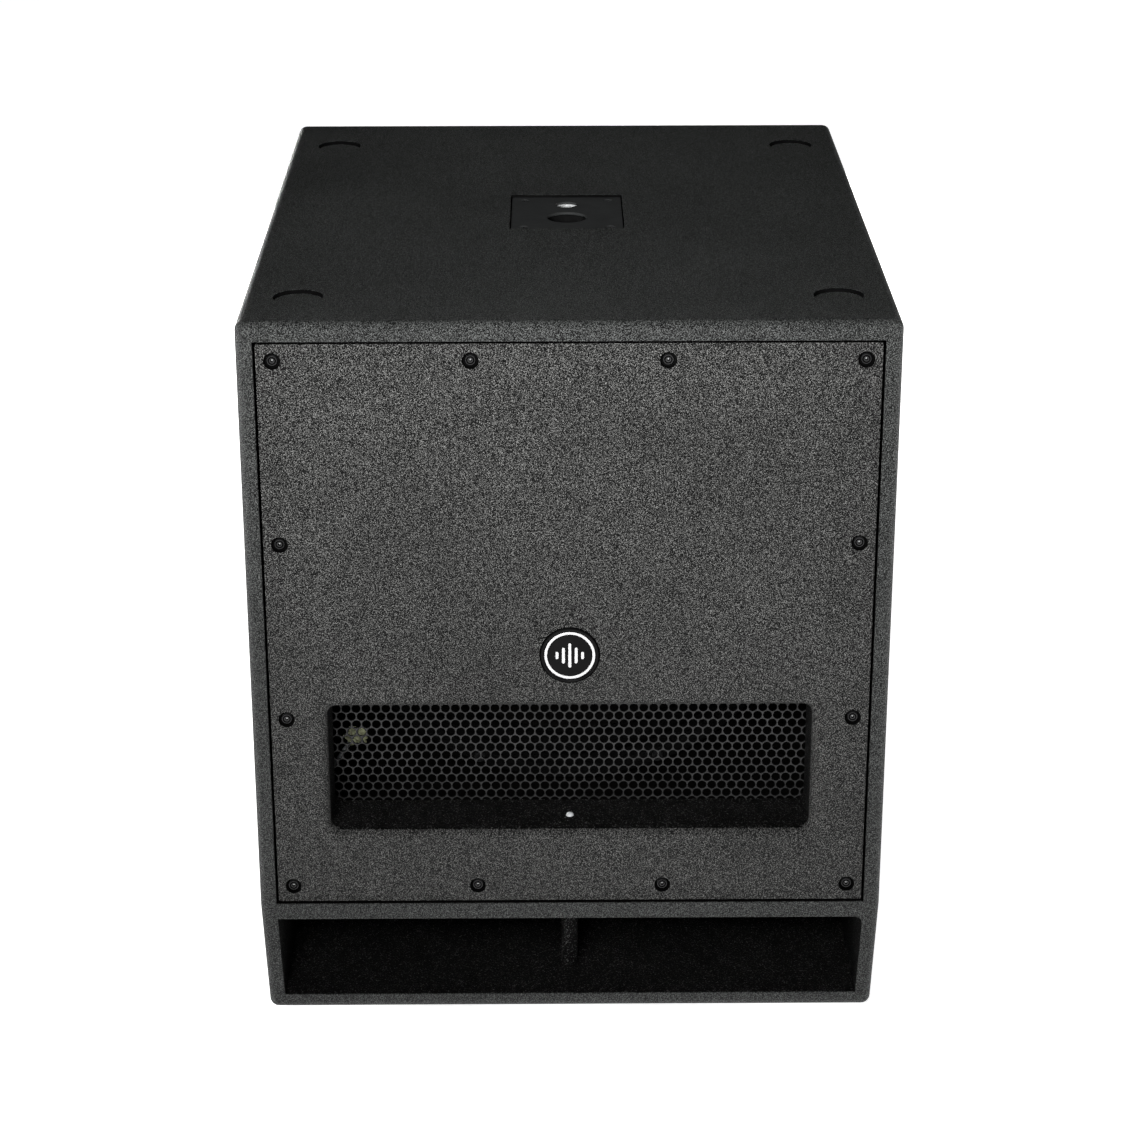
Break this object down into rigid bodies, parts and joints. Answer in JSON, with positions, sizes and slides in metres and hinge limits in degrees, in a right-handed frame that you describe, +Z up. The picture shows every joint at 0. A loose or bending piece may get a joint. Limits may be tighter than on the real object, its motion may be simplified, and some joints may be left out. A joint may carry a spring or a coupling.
{
  "type": "powered subwoofer cabinet",
  "caption": "Floor-standing powered band-pass subwoofer with a screwed front panel, slotted grille, bottom vent port, pole mount on top and amplifier at the rear.",
  "frame": {"origin": "on the floor under the middle of the cabinet, at the level of the feet", "axes": "+Z up, -Y out of the front panel, +X to the right seen from the front"},
  "size_m": [0.563, 0.721, 0.683],
  "materials": {
    "cabinet_coat": "birch plywood under a matt black sprayed coat with a fine pebbled texture",
    "panel_coat": "plywood under a coarser, speckled black coat",
    "bare_plywood": "plywood sprayed thin black, grain just showing",
    "grille_steel": "perforated steel, satin black powder coat",
    "badge_black": "gloss black lens with a white ring",
    "led_lens": "clear white indicator lens",
    "screw_black": "black oxide steel, hexagon socket head",
    "foot_rubber": "matt black moulded rubber",
    "plate_steel": "smooth satin black paint on steel",
    "thread_zinc": "bright zinc plated steel",
    "handle_plastic": "black glass-filled plastic, fine leather grain",
    "basket_cast": "die-cast aluminium, black powder coat",
    "surround_rubber": "doped cloth half roll",
    "cone_paper": "pressed paper, black",
    "spider_cloth": "corrugated, resin-stiffened cotton",
    "coil_copper": "copper wire on a glass-fibre former",
    "motor_steel": "zinc-plated steel",
    "ferrite": "sintered ferrite",
    "amp_aluminium": "cast aluminium, fine black powder coat",
    "chassis_steel": "galvanised sheet steel",
    "board_green": "green solder mask",
    "socket_black": "black chromed die-cast zinc",
    "latch_nickel": "nickel-plated steel",
    "control_plastic": "black moulded plastic",
    "lead_jacket": "grey flexible jacket",
    "cable_jacket": "black flexible jacket"
  },
  "bodies": {
    "cabinet": {"top_board": "cabinet_coat", "bottom_board": "cabinet_coat", "left_side": "cabinet_coat", "right_side": "cabinet_coat", "back_board": "cabinet_coat", "port_shelf": "cabinet_coat", "port_divider": "cabinet_coat", "front_panel": "panel_coat", "slot_duct": "panel_coat", "driver_baffle": "bare_plywood", "panel_frame": "bare_plywood", "slot_grille": "grille_steel", "badge": "badge_black", "power_led": "led_lens", "panel_screw_01": "screw_black", "panel_screw_02": "screw_black", "panel_screw_03": "screw_black", "panel_screw_04": "screw_black", "panel_screw_05": "screw_black", "panel_screw_06": "screw_black", "panel_screw_07": "screw_black", "panel_screw_08": "screw_black", "panel_screw_09": "screw_black", "panel_screw_10": "screw_black", "panel_screw_11": "screw_black", "panel_screw_12": "screw_black", "foot_front_left": "foot_rubber", "foot_back_left": "foot_rubber", "foot_front_right": "foot_rubber", "foot_back_right": "foot_rubber", "pole_plate": "plate_steel", "pole_cup": "plate_steel", "thread_insert": "thread_zinc", "left_handle": "handle_plastic", "right_handle": "handle_plastic", "woofer_basket": "basket_cast", "cone_surround": "surround_rubber", "spider": "spider_cloth", "top_plate": "motor_steel", "back_plate": "motor_steel", "magnet": "ferrite", "amp_panel": "amp_aluminium", "amp_chassis": "chassis_steel", "circuit_board": "board_green", "xlr_input_1": "socket_black", "xlr_input_2": "socket_black", "xlr_output_1": "socket_black", "xlr_output_2": "socket_black", "mains_inlet": "control_plastic", "led_lead": "lead_jacket", "speaker_cable": "cable_jacket"},
    "cone_assembly": {"cone": "cone_paper", "dust_cap": "cone_paper", "voice_coil": "coil_copper"},
    "level_knob": {"level_knob": "control_plastic"},
    "power_rocker": {"power_rocker": "control_plastic"},
    "crossover_slider": {"crossover_slider": "control_plastic"},
    "polarity_slider": {"polarity_slider": "control_plastic"},
    "latch_tab_1": {"latch_tab_1": "latch_nickel"},
    "latch_tab_2": {"latch_tab_2": "latch_nickel"}
  },
  "joints": [
    {"name": "cone_excursion", "type": "slide", "parent": "cabinet", "child": "cone_assembly", "axis": [0, -1, 0], "range_m": [-0.01, 0.01], "stiffness_N_per_m": 9000},
    {"name": "level_turn", "type": "hinge", "parent": "cabinet", "child": "level_knob", "pos_m": [0.02, 0.3358, 0.54], "axis": [0, 1, 0], "range_deg": [-150, 150]},
    {"name": "power_rock", "type": "hinge", "parent": "cabinet", "child": "power_rocker", "pos_m": [-0.085, 0.3278, 0.505], "axis": [1, 0, 0], "range_deg": [0, 16]},
    {"name": "crossover_slide", "type": "slide", "parent": "cabinet", "child": "crossover_slider", "axis": [1, 0, 0], "range_m": [0, 0.008]},
    {"name": "polarity_slide", "type": "slide", "parent": "cabinet", "child": "polarity_slider", "axis": [1, 0, 0], "range_m": [0, 0.004]},
    {"name": "latch_1_press", "type": "slide", "parent": "cabinet", "child": "latch_tab_1", "axis": [0, -1, 0], "range_m": [0, 0.002], "stiffness_N_per_m": 500},
    {"name": "latch_2_press", "type": "slide", "parent": "cabinet", "child": "latch_tab_2", "axis": [0, -1, 0], "range_m": [0, 0.002], "stiffness_N_per_m": 500}
  ]
}
